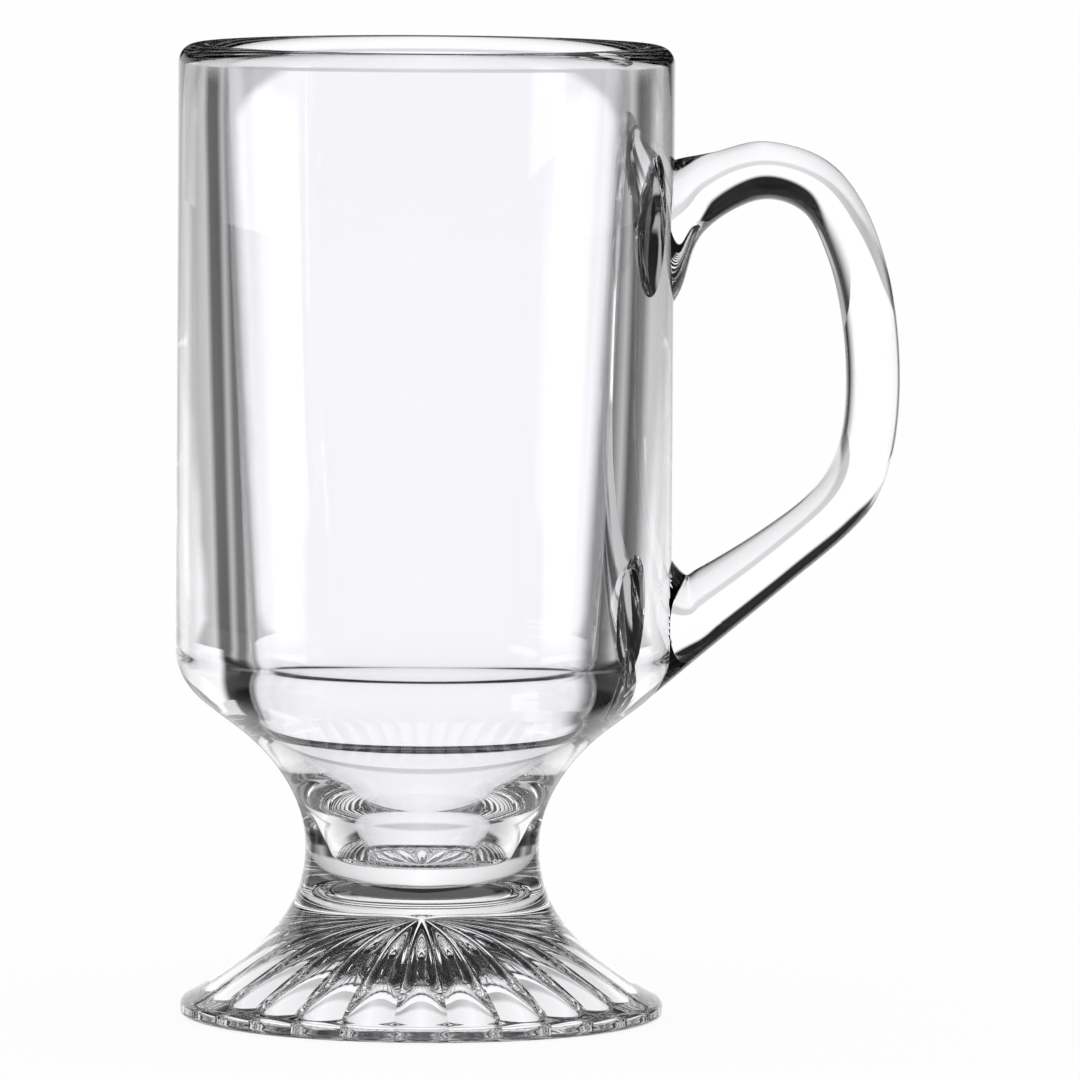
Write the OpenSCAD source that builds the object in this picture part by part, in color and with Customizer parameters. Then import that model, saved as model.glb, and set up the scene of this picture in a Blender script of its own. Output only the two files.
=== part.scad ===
// Irish coffee mug of clear pressed glass, four pieces welded while hot.
// A thick bowl runs down through a funnel and a well into a solid waist, the foot flares out below the
// waist weld over a hollow of radial flutes, and a bent handle is welded to the wall and to a short lug.
// Millimetres, +Z up. The origin is the centre of the base on the glass axis, and the handle points to +X.

/* [Bowl] */
// Height of the mug from the table to the top of the rim
mug_h = 146; // [130:1:165]
// Outside diameter of the bowl
bowl_d = 74.4; // [70:0.2:80]
// Thickness of the wall at the mouth
mouth_wall = 6.2; // [5.5:0.1:8]
// Thickness of the wall at the bottom of the tapering bore
bore_wall = 10.7; // [8.5:0.1:13]
// Rounding radius of the rim, inside and outside
rim_round = 2.8; // [1.5:0.1:3]
// Height of the shoulder corner, where the wall would meet the flank
shoulder_z = 50.4; // [47:0.2:54]
// Slope of the flank below the shoulder, measured from vertical in degrees
flank_angle = 53.1; // [50:0.5:57]

/* [Inside bottom] */
// Height where the funnel would meet the straight bore
funnel_z = 49.2; // [47:0.1:51]
// Rounding length between bore and funnel
funnel_round = 6.5; // [4:0.1:8]
// Diameter of the well mouth at the foot of the funnel
well_d = 22; // [20:0.2:25]
// Height of the well mouth
well_z = 32; // [30:0.1:34]
// Diameter of the well floor
floor_d = 17; // [13:0.5:19]
// Height of the well floor
floor_z = 22.7; // [20:0.1:26]
// Rounding length at the mouth and at the floor of the well
well_round = 1.6; // [0.5:0.1:2.2]

/* [Waist and foot] */
// Diameter of the waist at its narrowest
waist_d = 35.2; // [33:0.2:38]
// Height of the corner where the waist turns out into the foot
waist_z = 20.3; // [18.5:0.1:22]
// Height of the weld between bowl and foot
weld_z = 16.3; // [14.5:0.1:17.5]
// Slope of the glass at the weld, measured from vertical in degrees
weld_angle = 29; // [26:0.5:33]
// Diameter of the foot at its widest
foot_d = 72.7; // [68:0.1:78]
// Height of the foot's edge corner
foot_edge_z = 2.3; // [1.8:0.1:3]
// Slope of the top of the foot at its edge, measured from vertical in degrees
foot_angle = 62; // [58:0.5:65]
// Rounding length of the foot's edge, top and bottom
foot_round = 0.9; // [0.4:0.05:1.1]

/* [Underside] */
// Number of pressed flutes
flute_count = 24; // [16:1:32]
// Depth of a flute at its deepest
flute_depth = 1.3; // [0.6:0.1:1.8]
// Height of the hollow under the foot
hollow_h = 11.6; // [9:0.1:12.5]
// Diameter across the points between the flutes, at the bearing ring
hollow_d = 59; // [54:0.5:61]
// How far each flute's round end reaches out past the points
scallop = 1.5; // [0.5:0.1:2]

/* [Handle] */
// Reach of the handle from the wall to its outermost edge
handle_reach = 34; // [28:0.5:42]
// Height from the lowest to the highest point of the handle
handle_h = 81.3; // [72:0.5:86]
// Height of the handle's lowest point above the table
handle_z = 50.6; // [49:0.2:53]
// Depth of the handle bar from front to back
handle_depth = 11; // [8:0.5:15]

/* [Hidden] */
glass_color = [0.84, 0.91, 0.93, 0.5];
$fn = 96;

// Curve steps of one rounded corner, and how far a cut runs past a face
corner_steps = 10;
cut_over = 0.4;

// Shares of a straight side that its soft corners take up
waist_low_share = 0.34;
flank_low_share = 0.54;
flank_high_share = 0.24;
wall_foot_share = 0.045;
flare_share = 0.88;
bore_mid_share = 0.5;
bore_curve_share = 0.78;

// Hollow of the foot: exponents of its dome and of the fading flutes, and its mesh steps
dome_in_power = 1.6;
dome_out_power = 0.77;
flute_fade_power = 5;
hollow_rings = 10;
flute_steps = 6;

// Handle section: exponent of its oval, where more than two is squarer, and its mesh steps
section_power = 2;
section_sides = 20;
route_steps = 4;

// Outer and inner edge of the handle from the upper root to the lower one, as shares of reach and height
outer_edge_shares = [
    [-0.11, 0.948], [0.02, 0.966], [0.165, 0.978], [0.396, 0.999], [0.661, 0.967],
    [0.84, 0.881], [0.954, 0.746], [1, 0.592], [0.983, 0.449], [0.91, 0.346],
    [0.777, 0.275], [0.511, 0.18], [0.21, 0.075], [0.068, 0.025], [-0.11, -0.038]];
inner_edge_shares = [
    [-0.087, 0.648], [0.028, 0.722], [0.126, 0.829], [0.365, 0.89], [0.564, 0.87],
    [0.67, 0.792], [0.733, 0.692], [0.761, 0.579], [0.748, 0.472], [0.693, 0.4],
    [0.582, 0.341], [0.365, 0.273], [0.117, 0.21], [0.045, 0.203], [-0.087, 0.278]];
depth_shares = [1.3, 1.24, 1.1, 1, 1, 1, 1, 1, 1, 1, 1, 1, 1.06, 1.12, 1.2];
// Rows of the tables, from the upper root down, that the handle runs over before its weld to the lug
handle_row_count = 12;

bowl_r = bowl_d / 2;
mouth_r = bowl_r - mouth_wall;
bore_r = bowl_r - bore_wall;
waist_r = waist_d / 2;
foot_r = foot_d / 2;

// Plane geometry of the outlines, all points as [radius, height]
function unit(v) = v / norm(v);
function bezier(p, q, r, s, t) =
    p * pow(1 - t, 3) + q * 3 * t * pow(1 - t, 2) + r * 3 * t * t * (1 - t) + s * pow(t, 3);
function turn_at(a, b, c) = 180 - acos(unit(a - b) * unit(c - b));
function arc_pull(turn) = 4 / 3 * tan(turn / 4) / tan(turn / 2);
// A corner at b, rounded from in_length before it to out_length after it
function corner(a, b, c, in_length, out_length) =
    let (
        p = b + unit(a - b) * in_length,
        q = b + unit(c - b) * out_length,
        pull = arc_pull(turn_at(a, b, c))
    )
    [for (i = [0 : corner_steps]) bezier(p, p + (b - p) * pull, q + (b - q) * pull, q, i / corner_steps)];
function soft_corner(a, b, c, in_share, out_share) =
    corner(a, b, c, norm(a - b) * in_share, norm(c - b) * out_share);

// Corners of the outside, from the table up to the rim
base_corner = [foot_r, 0];
edge_corner = [foot_r, foot_edge_z];
waist_corner = [waist_r, waist_z];
weld_point = [waist_r + (waist_z - weld_z) * tan(weld_angle), weld_z];
flare_corner_z =
    (foot_r - waist_r + foot_edge_z * tan(foot_angle) - waist_z * tan(weld_angle))
    / (tan(foot_angle) - tan(weld_angle));
flare_corner = [foot_r - (flare_corner_z - foot_edge_z) * tan(foot_angle), flare_corner_z];
shoulder_corner = [bowl_r, shoulder_z];
flank_corner = [waist_r, shoulder_z - (bowl_r - waist_r) / tan(flank_angle)];
rim_corner = [bowl_r, mug_h];

// Corners of the inside, from the rim down to the floor of the well
mouth_corner = [mouth_r, mug_h];
bore_corner = [bore_r, funnel_z + (mug_h - funnel_z) * bore_mid_share];
funnel_corner = [bore_r, funnel_z];
well_corner = [well_d / 2, well_z];
floor_corner = [floor_d / 2, floor_z];
floor_centre = [0, floor_z];

bowl_outside = concat(
    [weld_point],
    corner(weld_point, waist_corner, flank_corner,
        norm(weld_point - waist_corner), norm(flank_corner - waist_corner) * waist_low_share),
    soft_corner(waist_corner, flank_corner, shoulder_corner, 1 - waist_low_share, flank_low_share),
    soft_corner(flank_corner, shoulder_corner, rim_corner, flank_high_share, wall_foot_share),
    corner(shoulder_corner, rim_corner, mouth_corner, rim_round, rim_round));
bowl_inside = concat(
    corner(rim_corner, mouth_corner, bore_corner, rim_round, rim_round),
    soft_corner(mouth_corner, bore_corner, funnel_corner, bore_curve_share, bore_curve_share),
    corner(bore_corner, funnel_corner, well_corner, funnel_round, funnel_round),
    corner(funnel_corner, well_corner, floor_corner, well_round, well_round),
    corner(well_corner, floor_corner, floor_centre, well_round, well_round));
foot_outside = concat(
    corner(floor_centre * 0, base_corner, edge_corner, foot_round, foot_round),
    corner(base_corner, edge_corner, flare_corner, foot_round, foot_round),
    corner(edge_corner, flare_corner, waist_corner,
        norm(edge_corner - flare_corner) * flare_share, norm(weld_point - flare_corner)));

// Height of the hollow's surface at a share of its radius and a place across one flute, from -0.5 to 0.5
function across(u) = 1 - 4 * u * u;
function hollow_height(s, u) =
    (hollow_h + cut_over) * pow(1 - pow(s, dome_in_power), dome_out_power) - cut_over
    + flute_depth * s * (1 - pow(s, flute_fade_power)) * across(u);
function hollow_point(s, k) =
    let (
        u = (k % flute_steps) / flute_steps - 0.5,
        rho = s * (hollow_d / 2 + scallop * across(u)),
        angle = 360 * (k / flute_steps - 0.5) / flute_count
    )
    [rho * cos(angle), rho * sin(angle), hollow_height(s, u)];

// The air under the foot: a dome with flutes, closed a little below the table
module hollow() {
    around = flute_count * flute_steps;
    grid = [for (i = [1 : hollow_rings]) for (k = [0 : around - 1])
        hollow_point(sin(90 * i / hollow_rings), k)];
    apex = len(grid);
    last = (hollow_rings - 1) * around;
    side = [for (i = [0 : hollow_rings - 2]) for (k = [0 : around - 1])
        let (a = i * around + k, b = i * around + (k + 1) % around)
        each [[a, b, a + around], [b, b + around, a + around]]];
    cap = [for (k = [0 : around - 1]) [apex, (k + 1) % around, k]];
    base = [for (k = [0 : around - 1]) [apex + 1, last + k, last + (k + 1) % around]];
    polyhedron(
        points = concat(grid, [[0, 0, hollow_h], [0, 0, -cut_over]]),
        faces = concat(side, cap, base));
}

// Smooth route through the rows of a table, at row t
function smooth(a, b, c, d, t) = bezier(b, b + (c - a) / 6, c - (d - b) / 6, c, t);
function along(table, t) =
    let (last = len(table) - 1, i = min(floor(t), last - 1))
    smooth(table[max(i - 1, 0)], table[i], table[i + 1], table[min(i + 2, last)], t - i);
function edge_point(share) = [bowl_r + handle_reach * share[0], 0, handle_z + handle_h * share[1]];
function soft_power(c) = sign(c) * pow(abs(c), 2 / section_power);
function section(t) =
    let (
        outer = edge_point(along(outer_edge_shares, t)),
        inner = edge_point(along(inner_edge_shares, t)),
        middle = (outer + inner) / 2,
        half = (outer - inner) / 2,
        side = [0, handle_depth / 2 * along(depth_shares, t), 0]
    )
    [for (k = [0 : section_sides - 1])
        let (angle = 360 * k / section_sides)
        middle + half * soft_power(cos(angle)) + side * soft_power(sin(angle))];

// The handle's bar from one row to another
module bar(from, to) {
    rings = (to - from) * route_steps;
    grid = [for (i = [0 : rings]) each section(from + i / route_steps)];
    n = section_sides;
    side = [for (i = [0 : rings - 1]) for (k = [0 : n - 1])
        let (a = i * n + k, b = i * n + (k + 1) % n)
        each [[a, a + n, b], [b, a + n, b + n]]];
    start_cap = [[for (k = [0 : n - 1]) k]];
    end_cap = [[for (k = [0 : n - 1]) rings * n + n - 1 - k]];
    polyhedron(points = grid, faces = concat(side, start_cap, end_cap));
}

// The bowl's outside as a solid, which the handle and the lug are shaped to
module bowl_blank() {
    rotate_extrude() polygon(concat(bowl_outside, [[0, mug_h], [0, weld_z]]));
}

module bowl() {
    color(glass_color)
        rotate_extrude() polygon(concat([[0, weld_z]], bowl_outside, bowl_inside, [floor_centre]));
}

module foot() {
    color(glass_color)
        difference() {
            rotate_extrude() polygon(concat([[0, 0]], foot_outside, [[0, weld_z]]));
            hollow();
        }
}

module handle() {
    color(glass_color)
        difference() {
            bar(0, handle_row_count);
            bowl_blank();
        }
}

module handle_lug() {
    color(glass_color)
        difference() {
            bar(handle_row_count, len(outer_edge_shares) - 1);
            bowl_blank();
        }
}

bowl();
foot();
handle();
handle_lug();
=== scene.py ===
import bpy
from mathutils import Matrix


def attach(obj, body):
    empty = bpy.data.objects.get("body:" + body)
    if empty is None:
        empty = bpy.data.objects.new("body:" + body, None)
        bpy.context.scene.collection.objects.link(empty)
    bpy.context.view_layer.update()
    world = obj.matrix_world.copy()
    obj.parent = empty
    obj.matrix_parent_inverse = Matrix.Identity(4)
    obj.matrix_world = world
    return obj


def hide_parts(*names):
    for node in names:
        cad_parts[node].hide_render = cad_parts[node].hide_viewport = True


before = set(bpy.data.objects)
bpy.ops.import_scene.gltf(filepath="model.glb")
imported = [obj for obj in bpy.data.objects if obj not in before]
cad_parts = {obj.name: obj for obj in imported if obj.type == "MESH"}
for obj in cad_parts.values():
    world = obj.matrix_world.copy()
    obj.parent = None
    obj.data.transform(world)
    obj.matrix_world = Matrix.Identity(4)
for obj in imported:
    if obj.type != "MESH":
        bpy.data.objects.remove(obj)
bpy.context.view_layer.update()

import math

import bmesh
import bpy
from mathutils import Matrix, Vector
from mathutils.bvhtree import BVHTree

# Irish coffee mug of clear pressed glass: bowl, foot, handle and lug, welded while hot.
# The settings are in millimetres, the mesh is in metres.
mm = 0.001
white = (1, 1, 1, 1)
mergeGap = 0.001 * mm    # points nearer than this are one
weldSlot = 1             # material slot of the faces that are fused to the next piece
stampSlot = 2            # the slot that a stamp's faces have while they are cut in


def point(radius, height):
    return Vector((radius, 0, height)) * mm


def curve(p, q, r, s, t):
    return p * (1 - t) ** 3 + q * 3 * t * (1 - t) ** 2 + r * 3 * t * t * (1 - t) + s * t ** 3


def roundedCorner(a, b, c, inLength, outLength, steps):
    # the corner at b, rounded from inLength before it to outLength after it
    p = b + (a - b).normalized() * inLength
    q = b + (c - b).normalized() * outLength
    turn = math.pi - (a - b).angle(c - b)
    pull = 4 / 3 * math.tan(turn / 4) / math.tan(turn / 2)
    return [curve(p, p + (b - p) * pull, q + (b - q) * pull, q, i / steps) for i in range(steps + 1)]


def softCorner(a, b, c, inShare, outShare, steps):
    return roundedCorner(a, b, c, (a - b).length * inShare, (c - b).length * outShare, steps)


def pick(piece):
    bpy.ops.object.select_all(action="DESELECT")
    piece.select_set(True)
    bpy.context.view_layer.objects.active = piece


def editMesh(piece):
    pick(piece)
    bpy.ops.object.mode_set(mode="EDIT")


def leaveEdit():
    bpy.ops.object.mode_set(mode="OBJECT")


def drawOutline(name, points):
    # one point of a small plane, drawn on along the outline
    bpy.ops.object.select_all(action="DESELECT")
    bpy.ops.mesh.primitive_plane_add(size=mm, location=points[0])
    piece = bpy.context.object
    piece.name = piece.data.name = name
    bpy.ops.object.transform_apply(location=True, rotation=True, scale=True)
    bpy.ops.object.mode_set(mode="EDIT")
    bpy.ops.mesh.select_all(action="SELECT")
    bpy.ops.mesh.merge(type="CENTER")
    for before, after in zip(points, points[1:]):
        bpy.ops.mesh.extrude_vertices_move(TRANSFORM_OT_translate={"value": after - before})
    leaveEdit()
    return piece


def spinOutline(piece, steps, angle):
    editMesh(piece)
    bpy.ops.mesh.select_all(action="SELECT")
    bpy.ops.mesh.spin(steps=steps, angle=angle, center=(0, 0, 0), axis=(0, 0, 1))
    bpy.ops.mesh.select_all(action="SELECT")
    bpy.ops.mesh.remove_doubles(threshold=mergeGap)
    leaveEdit()


def closeUp(piece):
    editMesh(piece)
    bpy.ops.mesh.select_all(action="SELECT")
    bpy.ops.mesh.remove_doubles(threshold=mergeGap)
    bpy.ops.mesh.normals_make_consistent(inside=False)
    leaveEdit()


def smoothPiece(piece, angle):
    pick(piece)
    bpy.ops.object.shade_smooth_by_angle(angle=math.radians(angle))


def copyOf(piece, name):
    made = piece.copy()
    made.data = piece.data.copy()
    made.name = made.data.name = name
    bpy.context.collection.objects.link(made)
    return made


def applyModifier(piece, kind, settings):
    pick(piece)
    made = piece.modifiers.new(kind.lower(), kind)
    for key, value in settings.items():
        setattr(made, key, value)
    bpy.ops.object.modifier_apply(modifier=made.name)


def removePiece(piece):
    bpy.data.objects.remove(piece, do_unlink=True)


def hexColour(code):
    # sRGB hex to linear
    parts = [int(code[i:i + 2], 16) / 255 for i in (1, 3, 5)]
    return tuple(c / 12.92 if c <= 0.04045 else ((c + 0.055) / 1.055) ** 2.4 for c in parts) + (1,)


def addNode(tree, kind, settings=None, links=None):
    made = tree.nodes.new(kind)
    for key, value in (settings or {}).items():
        if hasattr(made, key):
            setattr(made, key, value)
        else:
            made.inputs[key].default_value = value
    for key, (other, output) in (links or {}).items():
        tree.links.new(other.outputs[output], made.inputs[key])
    return made


def newMaterial(name):
    made = bpy.data.materials.new(name)
    made.use_nodes = True
    made.node_tree.nodes.clear()
    return made, made.node_tree


glassSettings = {
    "colour": "#FDFDFF",     # soda-lime glass, nearly water white
    "ior": 1.52,
    "roughness": 0.0,
    "waveLength": 9.0,       # mm, slow waves that fire polishing leaves
    "waveHeight": 0.006,     # mm
    "waveDetail": 1.0,
    "waveRoughness": 0.4,
}


def pressedGlass():
    # soda-lime glass, pressed in a mould and fire polished: clear, with slow waves in its skin
    made, tree = newMaterial("firePolishedPressedGlass")
    s = glassSettings
    place = addNode(tree, "ShaderNodeTexCoord")
    waves = addNode(tree, "ShaderNodeTexNoise",
                    {"Scale": 1 / (s["waveLength"] * mm), "Detail": s["waveDetail"],
                     "Roughness": s["waveRoughness"]},
                    {"Vector": (place, "Object")})
    bump = addNode(tree, "ShaderNodeBump", {"Strength": 1.0, "Distance": s["waveHeight"] * mm},
                   {"Height": (waves, "Fac")})
    shader = addNode(tree, "ShaderNodeBsdfPrincipled",
                     {"Base Color": hexColour(s["colour"]), "Roughness": s["roughness"], "IOR": s["ior"],
                      "Transmission Weight": 1.0},
                     {"Normal": (bump, "Normal")})
    addNode(tree, "ShaderNodeOutputMaterial", None, {"Surface": (shader, "BSDF")})
    return made


def fusedGlass():
    # glass that melted into the next piece has no surface left, so light runs straight through it
    made, tree = newMaterial("fusedGlassWeld")
    shader = addNode(tree, "ShaderNodeBsdfPrincipled",
                     {"Base Color": hexColour(glassSettings["colour"]), "IOR": glassSettings["ior"],
                      "Transmission Weight": 1.0, "Alpha": 0.0})
    addNode(tree, "ShaderNodeOutputMaterial", None, {"Surface": (shader, "BSDF")})
    return made


glass, weld = pressedGlass(), fusedGlass()


def giveGlass(piece):
    piece.data.materials.clear()
    piece.data.materials.append(glass)
    piece.data.materials.append(weld)


def markWeld(piece, test):
    # faces that pass the test are fused to the next piece
    for face in piece.data.polygons:
        if test(face):
            face.material_index = weldSlot


bowlSettings = {
    "height": 146, "radius": 37.2, "rimRound": 2.8,
    "mouthWall": 6.4, "midWall": 8.45, "midZ": 100, "boreWall": 11.2,
    "funnelZ": 49.2, "funnelRound": 6.5, "wellRadius": 11, "wellZ": 32, "wellRound": 1.6,
    "floorRadius": 8.5, "floorZ": 22.7,
    "shoulderZ": 50.4, "flankAngle": 53.1,
    "waistRadius": 17.6, "waistZ": 20.3, "weldZ": 16.3, "weldAngle": 29,
    # how much of the run before a corner and of the run after it the corner's curve takes
    "waistCurve": (0.999, 0.34), "flankCurve": (0.66, 0.54), "shoulderCurve": (0.24, 0.045),
    "boreCurve": (0.78, 0.78),
    "cornerSteps": 14, "turnSteps": 320, "smoothAngle": 32,
}


def bowlOutline():
    s = bowlSettings
    steps = s["cornerSteps"]
    mouth, bore = s["radius"] - s["mouthWall"], s["radius"] - s["boreWall"]
    weldRadius = s["waistRadius"] + (s["waistZ"] - s["weldZ"]) * math.tan(math.radians(s["weldAngle"]))
    weldAt = point(weldRadius, s["weldZ"])
    waist = point(s["waistRadius"], s["waistZ"])
    flankDrop = (s["radius"] - s["waistRadius"]) / math.tan(math.radians(s["flankAngle"]))
    flank = point(s["waistRadius"], s["shoulderZ"] - flankDrop)
    shoulder = point(s["radius"], s["shoulderZ"])
    rim = point(s["radius"], s["height"])
    mouthCorner = point(mouth, s["height"])
    boreCorner = point(s["radius"] - s["midWall"], s["midZ"])
    funnel = point(bore, s["funnelZ"])
    well = point(s["wellRadius"], s["wellZ"])
    floorCorner = point(s["floorRadius"], s["floorZ"])
    floorCentre = point(0, s["floorZ"])
    rimRound, wellRound, funnelRound = (s[key] * mm for key in ("rimRound", "wellRound", "funnelRound"))
    outside = [weldAt]
    outside += softCorner(weldAt, waist, flank, *s["waistCurve"], steps)
    outside += softCorner(waist, flank, shoulder, *s["flankCurve"], steps)
    outside += softCorner(flank, shoulder, rim, *s["shoulderCurve"], steps)
    outside += roundedCorner(shoulder, rim, mouthCorner, rimRound, rimRound, steps)
    inside = roundedCorner(rim, mouthCorner, boreCorner, rimRound, rimRound, steps)
    inside += softCorner(mouthCorner, boreCorner, funnel, *s["boreCurve"], 2 * steps)
    inside += roundedCorner(boreCorner, funnel, well, funnelRound, funnelRound, steps)
    inside += roundedCorner(funnel, well, floorCorner, wellRound, wellRound, steps)
    inside += roundedCorner(well, floorCorner, floorCentre, wellRound, wellRound, steps)
    return [point(0, s["weldZ"])] + outside + inside + [floorCentre]


def makeBowl():
    piece = drawOutline("bowlGlass", bowlOutline())
    spinOutline(piece, bowlSettings["turnSteps"], 2 * math.pi)
    closeUp(piece)
    smoothPiece(piece, bowlSettings["smoothAngle"])
    return piece


footSettings = {
    "radius": 36.35, "edgeZ": 2.3, "edgeAngle": 62, "edgeRound": 0.9, "flareShare": 0.88,
    "fluteCount": 24, "fluteDepth": 1.3, "fluteFade": 5, "scallop": 1.5,
    "hollowHeight": 11.6, "hollowRadius": 29.5, "domeIn": 1.6, "domeOut": 0.77,
    "domeSteps": 36, "fluteSteps": 12, "cornerSteps": 12, "smoothAngle": 32,
    "domeGap": 0.01,         # mm off the dome's curve at which a point still lies on it
    "leastShare": 0.0001,    # of the hollow's radius, nearer than which to its middle or edge nothing moves
}


def domeHeight(share):
    # height of the hollow's roof, in metres, at a share of its radius
    s = footSettings
    return s["hollowHeight"] * max(0, 1 - share ** s["domeIn"]) ** s["domeOut"] * mm


def footOutline():
    s, b = footSettings, bowlSettings
    steps = s["cornerSteps"]
    slope, weldSlope = (math.tan(math.radians(angle)) for angle in (s["edgeAngle"], b["weldAngle"]))
    weldAt = point(b["waistRadius"] + (b["waistZ"] - b["weldZ"]) * weldSlope, b["weldZ"])
    waist = point(b["waistRadius"], b["waistZ"])
    # the runs from the waist's and the edge's slopes meet at the flare
    across = s["radius"] - b["waistRadius"]
    flareZ = (across + s["edgeZ"] * slope - b["waistZ"] * weldSlope) / (slope - weldSlope)
    flare = point(s["radius"] - (flareZ - s["edgeZ"]) * slope, flareZ)
    base = point(s["radius"], 0)
    edge = point(s["radius"], s["edgeZ"])
    edgeRound = s["edgeRound"] * mm
    dome = []
    for i in range(s["domeSteps"] + 1):
        share = math.sin(math.pi / 2 * i / s["domeSteps"])
        dome.append(Vector((s["hollowRadius"] * share * mm, 0, domeHeight(share))))
    outside = roundedCorner(point(0, 0), base, edge, edgeRound, edgeRound, steps)
    outside += roundedCorner(base, edge, flare, edgeRound, edgeRound, steps)
    outside += roundedCorner(edge, flare, waist, (edge - flare).length * s["flareShare"],
                             (weldAt - flare).length, 2 * steps)
    return dome + outside + [point(0, b["weldZ"])]


def makeFoot():
    s = footSettings
    piece = drawOutline("footGlass", footOutline())
    step = 2 * math.pi / s["fluteCount"]
    # one flute's slice, half a flute each side of +X
    spinOutline(piece, s["fluteSteps"], step)
    middle = sum((v.co for v in piece.data.vertices), Vector())
    piece.data.transform(Matrix.Rotation(-math.atan2(middle.y, middle.x), 4, "Z"))
    depth = piece.vertex_groups.new(name="fluteDepth")
    reach = piece.vertex_groups.new(name="fluteReach")
    for v in piece.data.vertices:
        radius = math.hypot(v.co.x, v.co.y)
        share = radius / (s["hollowRadius"] * mm)
        if share > 1 + s["leastShare"] or share < s["leastShare"]:
            continue
        if abs(v.co.z - domeHeight(share)) > s["domeGap"] * mm:
            continue
        across = max(0, 1 - (2 * math.atan2(v.co.y, v.co.x) / step) ** 2)
        depth.add([v.index], share * (1 - share ** s["fluteFade"]) * across, "REPLACE")
        reach.add([v.index], share * across, "REPLACE")
    applyModifier(piece, "DISPLACE", {"direction": "Z", "vertex_group": "fluteDepth", "mid_level": 0,
                                      "strength": s["fluteDepth"] * mm})
    applyModifier(piece, "DISPLACE", {"direction": "X", "vertex_group": "fluteReach", "mid_level": 0,
                                      "strength": s["scallop"] * mm})
    piece.vertex_groups.clear()
    # the slice is copied round the axis
    editMesh(piece)
    bpy.ops.mesh.select_all(action="SELECT")
    bpy.ops.mesh.spin(steps=s["fluteCount"] - 1, angle=2 * math.pi - step, center=(0, 0, 0),
                      axis=(0, 0, 1), dupli=True)
    leaveEdit()
    closeUp(piece)
    smoothPiece(piece, s["smoothAngle"])
    return piece


handleSettings = {
    "reach": 34, "height": 81.3, "z": 50.6, "depth": 11, "sides": 64, "rowSteps": 10, "weldRow": 12,
    "smoothAngle": 40,
    # outer and inner edge from the upper root to the lower one, as shares of reach and height
    "outer": [(-0.11, 0.948), (0.02, 0.966), (0.165, 0.978), (0.396, 0.999), (0.661, 0.967),
              (0.84, 0.881), (0.954, 0.746), (1, 0.592), (0.983, 0.449), (0.91, 0.346),
              (0.777, 0.275), (0.511, 0.18), (0.21, 0.075), (0.068, 0.025), (-0.11, -0.038)],
    "inner": [(-0.087, 0.648), (0.028, 0.722), (0.126, 0.829), (0.365, 0.89), (0.564, 0.87),
              (0.67, 0.792), (0.733, 0.692), (0.761, 0.579), (0.748, 0.472), (0.693, 0.4),
              (0.582, 0.341), (0.365, 0.273), (0.117, 0.21), (0.045, 0.203), (-0.087, 0.278)],
    # thickness from front to back, as shares of the depth
    "depths": [1.3, 1.24, 1.1, 1, 1, 1, 1, 1, 1, 1, 1, 1, 1.06, 1.12, 1.2],
}


def along(table, t):
    # a smooth curve through the rows of the table: each row's slope is that between its neighbours
    last = len(table) - 1
    i = min(int(t), last - 1)
    a, b, c, d = (table[j] for j in (max(i - 1, 0), i, i + 1, min(i + 2, last)))
    return curve(b, b + (c - a) / 6, c - (d - b) / 6, c, t - i)


def handleSection(t):
    # the oval of the bar at row t
    s = handleSettings
    low = Vector((bowlSettings["radius"], 0, s["z"]))
    outer, inner = (low + Vector((s["reach"] * v.x, 0, s["height"] * v.y))
                    for v in (along([Vector(p) for p in s[key]], t) for key in ("outer", "inner")))
    middle, half = (outer + inner) / 2, (outer - inner) / 2
    side = Vector((0, s["depth"] / 2 * along(s["depths"], t), 0))
    ring = []
    for k in range(s["sides"]):
        c, d = math.cos(2 * math.pi * k / s["sides"]), math.sin(2 * math.pi * k / s["sides"])
        ring.append((middle + half * c + side * d) * mm)
    return ring


def makeBar(name, fromRow, toRow):
    # a disc extruded section by section along the bar
    s = handleSettings
    rows = [fromRow + i / s["rowSteps"] for i in range((toRow - fromRow) * s["rowSteps"] + 1)]
    bpy.ops.object.select_all(action="DESELECT")
    bpy.ops.mesh.primitive_circle_add(vertices=s["sides"], radius=s["depth"] * mm, fill_type="NGON")
    piece = bpy.context.object
    piece.name = piece.data.name = name
    ring = handleSection(rows[0])
    for v, place in zip(piece.data.vertices, ring):
        v.co = place
    bpy.ops.object.mode_set(mode="EDIT")
    bpy.ops.mesh.select_all(action="SELECT")
    for row in rows[1:]:
        bpy.ops.mesh.extrude_region_move()
        shape = bmesh.from_edit_mesh(piece.data)
        picked = [v for v in shape.verts if v.select]
        after = handleSection(row)
        for v in picked:
            k = min(range(s["sides"]), key=lambda j: (v.co - ring[j]).length_squared)
            v.co = after[k]
        bmesh.update_edit_mesh(piece.data)
        ring = after
    leaveEdit()
    closeUp(piece)
    return piece


fuseSettings = {
    "ray": (0.11, 0.97, 0.07),   # a way that runs along no flat face
    "wallGap": 1,                # mm off the wall up to which the end of a bar reaches
    "wallShare": 0.9,            # of the bowl's radius, inside which no face is the outer wall's
    "heightGap": 0.5,            # mm above and below the end of the bar
    "skinGap": 0.05,             # mm off the wall at which a face still lies on it
    "sectionGap": 0.01,          # mm off the section between handle and lug at which a face still lies on it
    "squarely": 0.99,            # how straight a flat weld's face looks along the weld's normal
    "inwards": -0.5,             # under this a face's normal, taken along the way out, looks at the axis
}


def insideOf(piece):
    # tells whether a place is inside a closed piece
    tree = BVHTree.FromObject(piece, bpy.context.evaluated_depsgraph_get())
    way = Vector(fuseSettings["ray"]).normalized()

    def test(place):
        hit, normal = tree.ray_cast(place, way)[:2]
        return hit is not None and normal.dot(way) > 0
    return test


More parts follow.
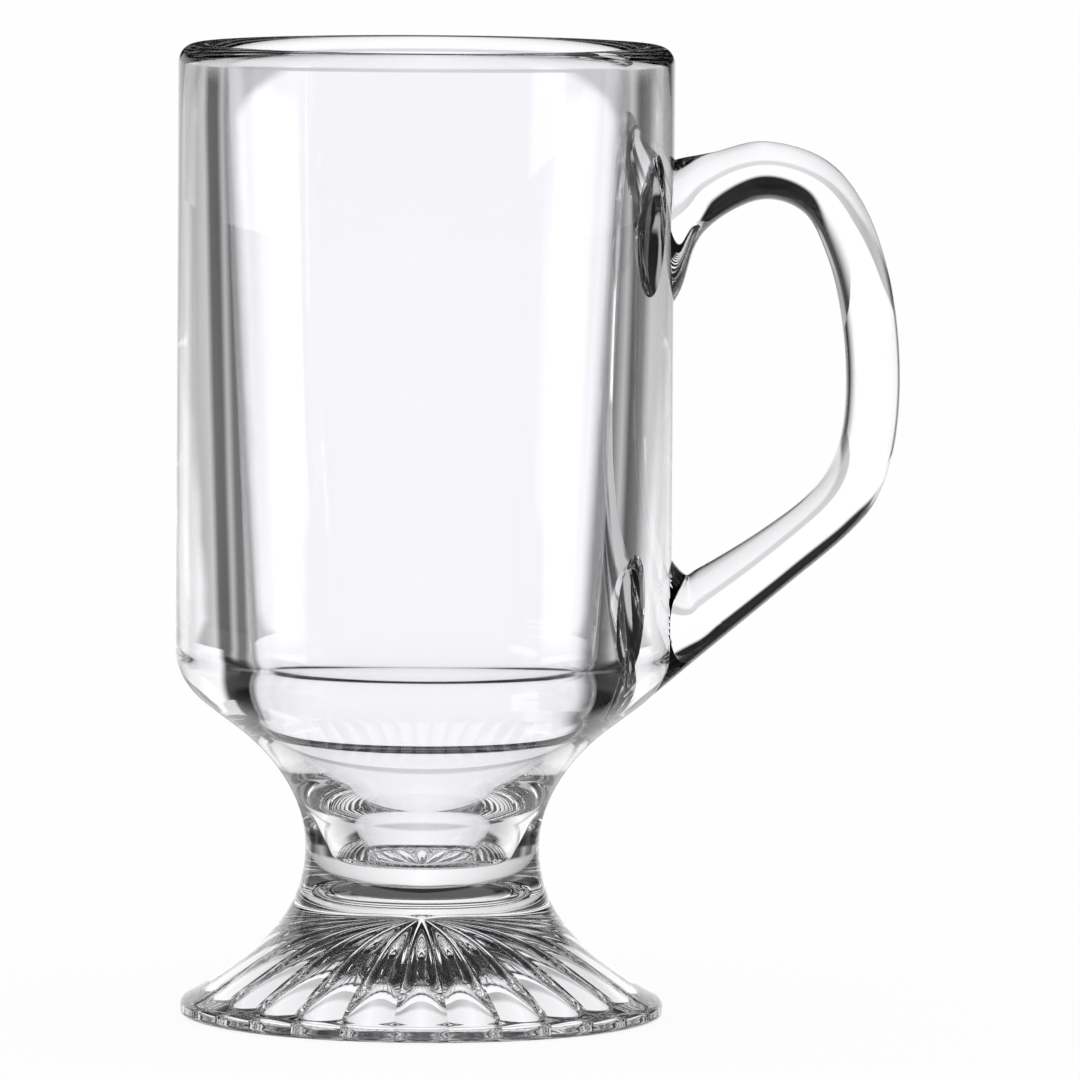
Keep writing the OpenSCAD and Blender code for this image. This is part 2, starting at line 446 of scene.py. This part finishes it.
def pickStamp(piece):
    # selects the stamp's faces and nothing else
    shape = bmesh.from_edit_mesh(piece.data)
    for face in shape.faces:
        face.select_set(face.material_index == stampSlot)
    bmesh.update_edit_mesh(piece.data)


def imprint(piece, tool):
    # cuts the outline of the tool's end into the piece's skin, and keeps the skin's own smooth normals
    s = fuseSettings
    clean = copyOf(piece, "cleanCopy")
    stamp = copyOf(tool, "stampCopy")
    chalk = bpy.data.materials.new("stampChalk")
    stamp.data.materials.clear()
    stamp.data.materials.append(chalk)
    for face in stamp.data.polygons:
        face.material_index = 0
    bpy.ops.object.select_all(action="DESELECT")
    stamp.select_set(True)
    piece.select_set(True)
    bpy.context.view_layer.objects.active = piece
    bpy.ops.object.join()
    bpy.ops.object.mode_set(mode="EDIT")
    bpy.ops.mesh.select_all(action="DESELECT")
    bpy.ops.mesh.select_mode(type="FACE")
    pickStamp(piece)
    bpy.ops.mesh.intersect(mode="SELECT_UNSELECT", separate_mode="NONE", solver="EXACT")
    pickStamp(piece)
    bpy.ops.mesh.delete(type="FACE")
    leaveEdit()
    print("imprint:", piece.name, len(piece.data.polygons), "faces")
    # what the end covers is fused to it
    isInside = insideOf(tool)
    wallX = (bowlSettings["radius"] + s["wallGap"]) * mm
    ends = [v.co.z for v in tool.data.vertices if v.co.x < wallX]
    low, high = min(ends) - s["heightGap"] * mm, max(ends) + s["heightGap"] * mm
    count = 0
    for face in piece.data.polygons:
        heights = [piece.data.vertices[v].co.z for v in face.vertices]
        if (isInside(face.center) and face.center.x > s["wallShare"] * bowlSettings["radius"] * mm
                and min(heights) > low and max(heights) < high):
            face.material_index = weldSlot
            count += 1
    print("weld faces:", count)
    piece.data.materials.pop(index=stampSlot)
    bpy.data.materials.remove(chalk)
    applyModifier(piece, "DATA_TRANSFER", {"object": clean, "use_loop_data": True,
                                           "data_types_loops": {"CUSTOM_NORMAL"},
                                           "loop_mapping": "POLYINTERP_NEAREST"})
    removePiece(clean)


bowl = makeBowl()
print("bowl:", len(bowl.data.polygons), "faces")
foot = makeFoot()
print("foot:", len(foot.data.polygons), "faces")


def onWaistWeld(face):
    away = abs(face.center.z - bowlSettings["weldZ"] * mm)
    return away < mergeGap and abs(face.normal.z) > fuseSettings["squarely"]


for piece in (bowl, foot):
    giveGlass(piece)
    markWeld(piece, onWaistWeld)

rowCount = len(handleSettings["outer"]) - 1
handleBar = makeBar("handleGlass", 0, handleSettings["weldRow"])
lugBar = makeBar("handleLugGlass", handleSettings["weldRow"], rowCount)
for piece in (handleBar, lugBar):
    giveGlass(piece)
    imprint(bowl, piece)
    blank = copyOf(bowl, "bowlBlank")
    applyModifier(piece, "BOOLEAN", {"operation": "DIFFERENCE", "object": blank, "solver": "EXACT"})
    removePiece(blank)
    smoothPiece(piece, handleSettings["smoothAngle"])
    print(piece.name, len(piece.data.polygons), "faces")

# the handle's and the lug's faces on the bowl's wall and on their own weld
weldRing = handleSection(handleSettings["weldRow"])
weldMiddle = sum(weldRing, Vector()) / len(weldRing)
weldOuter, weldSide = (weldRing[k] - weldMiddle for k in (0, handleSettings["sides"] // 4))
weldNormal = weldOuter.cross(weldSide).normalized()


def onBarWeld(face):
    s = fuseSettings
    away = abs((face.center - weldMiddle).dot(weldNormal))
    if away < s["sectionGap"] * mm and abs(face.normal.dot(weldNormal)) > s["squarely"]:
        return True
    out = Vector((face.center.x, face.center.y, 0))
    nearWall = out.length < (bowlSettings["radius"] + s["skinGap"]) * mm
    return nearWall and face.normal.dot(out.normalized()) < s["inwards"]


for piece in (handleBar, lugBar):
    markWeld(piece, onBarWeld)
    print(piece.name, "weld faces", sum(face.material_index == weldSlot for face in piece.data.polygons))

for piece, node in ((bowl, "bowl"), (foot, "foot"), (handleBar, "handle"), (lugBar, "handle_lug")):
    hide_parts(node)
    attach(piece, "root")


studioSettings = {
    "floorSize": 40.0,       # metres across
    "floorDrop": 0.2,        # mm below the mug
    "floorColour": "#F4F4F4",
    "floorGlow": 0.93,       # share of the floor's white that takes no shadow
    # The table round the mug as the glass sees it, in a near, a middle and a far band: light by compass
    # degrees from the far side, right is plus. The edges are degrees above the horizon, so minus is below
    # it, where a band meets the next one.
    "tableNear": [(-180, 0.65), (-122, 0.55), (-108, 0.1), (-62, 0.02), (-45, 0.2), (-26, 0.8), (0, 1.1),
                  (26, 0.7), (40, 0.02), (70, 0.15), (108, 0.1), (122, 0.55), (180, 0.65)],
    "midEdge": (-38, -32),
    "tableMid": [(-180, 0.85), (-118, 0.75), (-90, 0.6), (-55, 0.6), (-26, 0.85), (0, 1.1), (26, 0.85),
                 (55, 0.6), (90, 0.6), (118, 0.75), (180, 0.85)],
    "farEdge": (-16, -12.5),
    "tableFar": [(-180, 0.85), (-122, 0.8), (-112, 0.3), (-75, 0.4), (-66, 0.6), (-61, 0.12), (-56, 0.12),
                 (-51, 0.5), (-46, 0.06), (-37, 0.06), (-31, 0.6), (-18, 0.5), (0, 0.8), (13, 0.65),
                 (22, 0.6), (31, 0.15), (43, 0.03), (50, 0.5), (57, 0.2), (67, 0.05), (74, 0.4),
                 (112, 0.3), (122, 0.8), (180, 0.85)],
    # painted shade: steeply below, the table under the mug's foot is painted dark; the dips in degrees over
    # which this painted shade fades into the table, then its light
    "shadeDip": (-62, -56), "shadeUnderFoot": 0.12,
    # two long white boxes low at the sides: compass degrees either way, then degrees above the horizon
    "boxes": (69, 92, 104, 112), "boxHeights": (-15, -12, -9.3, -8.6), "boxLight": 2.5,
    # the white card behind, from just under the table's far edge up to where the ring takes over
    "card": (-43, -33, 20, 38), "cardLow": (-9.3, -8.6), "cardTop": (17, 19), "cardLight": 1.1,
    # the front, and the share of its light that never reaches an eye through the glass or off it
    "front": (112, 124, 181, 182), "frontLight": 0.85, "frontLoss": 0.75,
    # where the far table's light ends beside the card, and the light over it
    "stripTop": (-6, -2), "overStrips": 0.012,
    # over the card's top: light by degrees above the horizon
    "above": [(-90, 0.012), (45, 0.02), (90, 0.05)],
}

ringSettings = {
    "radius": 300.0, "low": 110.0, "high": 400.0, "sides": 96, "dark": 0.012,
    "nearEdges": (100, 112),     # compass degrees either way where the near side of the ring starts
    "nearLight": 0.04,           # the near side's light
    # white cards on the ring: compass degrees where a card's light rises and falls, mm above the table where
    # it rises and falls, and its light
    "cards": {
        "back": ((-43, -33, 20, 38), (90, 100, 136, 160), 1.1),
        "leftUpper": ((-54, -49, -26, -20), (90, 105, 165, 200), 0.75),
        "leftBox": ((-112, -106, -84, -78), (90, 100, 136, 150), 2.0),
        "leftHigh": ((-100, -90, -74, -66), (138, 155, 300, 340), 0.4),
        "rightStrip": ((41, 46, 50, 55), (90, 100, 165, 195), 0.48),
        "rightBox": ((66, 71, 100, 110), (90, 100, 300, 340), 0.6),
    },
}


def addRamp(tree, source, stops):
    # light by an angle in degrees, straight from stop to stop
    low, high = stops[0][0], stops[-1][0]
    reach = addNode(tree, "ShaderNodeMapRange", {"From Min": low, "From Max": high}, {"Value": source})
    ramp = addNode(tree, "ShaderNodeValToRGB", None, {"Fac": (reach, "Result")})
    marks = ramp.color_ramp.elements
    while len(marks) < len(stops):
        marks.new(0.5)
    for mark, (angle, light) in zip(marks, stops):
        mark.position = (angle - low) / (high - low)
        mark.color = (light, light, light, 1)
    return ramp


def compassOf(tree, coordinate):
    # degrees round from the far side, and the coordinate's separate axes
    place = addNode(tree, "ShaderNodeTexCoord")
    axes = addNode(tree, "ShaderNodeSeparateXYZ", None, {"Vector": (place, coordinate)})
    turn = addNode(tree, "ShaderNodeMath", {"operation": "ARCTAN2"}, {0: (axes, "X"), 1: (axes, "Y")})
    degrees = addNode(tree, "ShaderNodeMath", {"operation": "DEGREES"}, {0: (turn, "Value")})
    return (degrees, "Value"), axes


def addStep(tree, source, low, high):
    # 0 below low, 1 above high, smooth between
    settings = {"interpolation_type": "SMOOTHSTEP", "From Min": low, "From Max": high}
    return addNode(tree, "ShaderNodeMapRange", settings, {"Value": source})


def feed(tree, node, values):
    # each input takes an output of another node or a plain number
    for slot, value in values.items():
        if isinstance(value, tuple):
            tree.links.new(value[0].outputs[value[1]], node.inputs[slot])
        else:
            node.inputs[slot].default_value = value


def addMath(tree, kind, first, second):
    made = addNode(tree, "ShaderNodeMath", {"operation": kind})
    feed(tree, made, {0: first, 1: second})
    return (made, "Value")


def addBlend(tree, share, first, second):
    # first where the share is 0, second where it is 1
    made = addNode(tree, "ShaderNodeMix", None, {0: (share, "Result")})
    feed(tree, made, {2: first, 3: second})
    return (made, 0)


def addWindow(tree, source, edges):
    # 1 between the first two edges and the last two, 0 outside them
    rise, fall = addStep(tree, source, *edges[:2]), addStep(tree, source, *edges[2:])
    return addMath(tree, "SUBTRACT", (rise, "Result"), (fall, "Result"))


def makeFloor():
    s = studioSettings
    bpy.ops.object.select_all(action="DESELECT")
    bpy.ops.mesh.primitive_plane_add(size=s["floorSize"], location=(0, 0, -s["floorDrop"] * mm))
    floor = bpy.context.object
    floor.name = "studioFloor"
    made, tree = newMaterial("whiteFloor")
    rays = addNode(tree, "ShaderNodeLightPath")
    share = addMath(tree, "MULTIPLY", (rays, "Is Camera Ray"), s["floorGlow"])
    paint = addNode(tree, "ShaderNodeBsdfDiffuse", {"Color": hexColour(s["floorColour"])})
    glow = addNode(tree, "ShaderNodeEmission", {"Color": white, "Strength": 1.0})
    mix = addNode(tree, "ShaderNodeMixShader", None, {0: share, 1: (paint, "BSDF"), 2: (glow, "Emission")})
    addNode(tree, "ShaderNodeOutputMaterial", None, {"Surface": (mix, "Shader")})
    floor.data.materials.append(made)
    # the glass shows the table that the world holds below the horizon
    floor.visible_transmission = False
    floor.visible_glossy = False


def makeRing():
    s = ringSettings
    bpy.ops.object.select_all(action="DESELECT")
    bpy.ops.mesh.primitive_cylinder_add(vertices=s["sides"], radius=s["radius"] * mm, end_fill_type="NOTHING",
                                        depth=(s["high"] - s["low"]) * mm,
                                        location=(0, 0, (s["high"] + s["low"]) / 2 * mm))
    ring = bpy.context.object
    ring.name = "cardRing"
    bpy.ops.object.transform_apply(location=True, rotation=True, scale=True)
    made, tree = newMaterial("whiteCards")
    compass, axes = compassOf(tree, "Object")
    level = addMath(tree, "MULTIPLY", (axes, "Z"), 1 / mm)
    total = s["dark"]
    for across, upward, light in s["cards"].values():
        card = addMath(tree, "MULTIPLY", addWindow(tree, compass, across), addWindow(tree, level, upward))
        total = addMath(tree, "MAXIMUM", total, addMath(tree, "MULTIPLY", card, light))
    near = addStep(tree, addMath(tree, "ABSOLUTE", compass, 0.0), *s["nearEdges"])
    total = addMath(tree, "MAXIMUM", total, addMath(tree, "MULTIPLY", (near, "Result"), s["nearLight"]))
    glow = addNode(tree, "ShaderNodeEmission", {"Color": white}, {"Strength": total})
    addNode(tree, "ShaderNodeOutputMaterial", None, {"Surface": (glow, "Emission")})
    ring.data.materials.append(made)
    # only the glass sees the ring
    ring.visible_camera = False
    ring.visible_diffuse = False
    ring.visible_shadow = False


def makeWorld():
    s = studioSettings
    world = bpy.data.worlds.new("studio")
    bpy.context.scene.world = world
    world.use_nodes = True
    tree = world.node_tree
    tree.nodes.clear()
    rays = addNode(tree, "ShaderNodeLightPath")
    compass, axes = compassOf(tree, "Generated")
    rise = addNode(tree, "ShaderNodeMath", {"operation": "ARCSINE"}, {0: (axes, "Z")})
    riseDegrees = addNode(tree, "ShaderNodeMath", {"operation": "DEGREES"}, {0: (rise, "Value")})
    height = (riseDegrees, "Value")
    edges = ("midEdge", "farEdge", "shadeDip", "cardLow", "cardTop", "stripTop")
    midEdge, farEdge, shadeDip, cardLow, cardTop, stripTop = (addStep(tree, height, *s[key]) for key in edges)
    bands = ("tableNear", "tableMid", "tableFar")
    near, mid, far = ((addRamp(tree, compass, s[key]), "Color") for key in bands)
    light = addBlend(tree, midEdge, near, mid)
    light = addBlend(tree, farEdge, light, far)
    away = addMath(tree, "ABSOLUTE", compass, 0.0)
    across, upward = addWindow(tree, away, s["boxes"]), addWindow(tree, height, s["boxHeights"])
    boxes = addMath(tree, "MULTIPLY", addMath(tree, "MULTIPLY", across, upward), s["boxLight"])
    light = addMath(tree, "MAXIMUM", light, boxes)
    # painted shade: steeply below, the table under the mug's foot is dark
    light = addBlend(tree, shadeDip, s["shadeUnderFoot"], light)
    frontShare = addWindow(tree, away, s["front"])
    card = addMath(tree, "MULTIPLY", addWindow(tree, compass, s["card"]), s["cardLight"])
    card = addMath(tree, "MAXIMUM", card, addMath(tree, "MULTIPLY", frontShare, s["frontLight"]))
    strips = addBlend(tree, stripTop, far, s["overStrips"])
    light = addBlend(tree, cardLow, light, addMath(tree, "MAXIMUM", card, strips))
    light = addBlend(tree, cardTop, light, (addRamp(tree, height, s["above"]), "Color"))
    # the front is dim to rays that pass the glass as well as to those it mirrors, both count as glossy
    glassShare = addMath(tree, "MULTIPLY", frontShare, (rays, "Is Glossy Ray"))
    kept = addMath(tree, "SUBTRACT", 1.0, addMath(tree, "MULTIPLY", glassShare, s["frontLoss"]))
    light = addMath(tree, "MULTIPLY", light, kept)
    # the camera and the floor see plain white
    direct = addMath(tree, "MAXIMUM", (rays, "Is Camera Ray"), (rays, "Is Diffuse Ray"))
    light = addMath(tree, "MAXIMUM", light, direct)
    glow = addNode(tree, "ShaderNodeBackground", {"Color": white}, {"Strength": light})
    addNode(tree, "ShaderNodeOutputWorld", None, {"Surface": (glow, "Background")})


cameraSettings = {
    "place": (0.0, -1770.0, 218.0),   # mm
    "aim": (17.4, 0.0, 71.7),         # mm
    "lens": 394.4,                    # mm
    "sensor": 36,                     # mm
    "roll": 0.40,                     # degrees that the mug leans to the right
    "sees": (0.05, 60),               # metres from the camera
}


def makeCamera():
    s = cameraSettings
    bpy.ops.object.select_all(action="DESELECT")
    place, aim = Vector(s["place"]) * mm, Vector(s["aim"]) * mm
    bpy.ops.object.camera_add(location=place)
    camera = bpy.context.object
    camera.name = "photoCamera"
    camera.rotation_mode = "QUATERNION"
    turn = (aim - place).to_track_quat("-Z", "Y")
    camera.rotation_quaternion = turn @ Matrix.Rotation(math.radians(s["roll"]), 4, "Z").to_quaternion()
    camera.data.lens = s["lens"]
    camera.data.sensor_width = s["sensor"]
    camera.data.clip_start, camera.data.clip_end = s["sees"]
    bpy.context.scene.camera = camera


makeFloor()
makeRing()
makeWorld()
makeCamera()
print("studio and camera made")

# light passes many faces of thick glass before it comes out
bounceLimits = {
    "max_bounces": 32, "transmission_bounces": 32, "glossy_bounces": 16, "transparent_max_bounces": 32,
}
scene = bpy.context.scene
scene.view_settings.view_transform = "Standard"
for key, value in bounceLimits.items():
    setattr(scene.cycles, key, value)
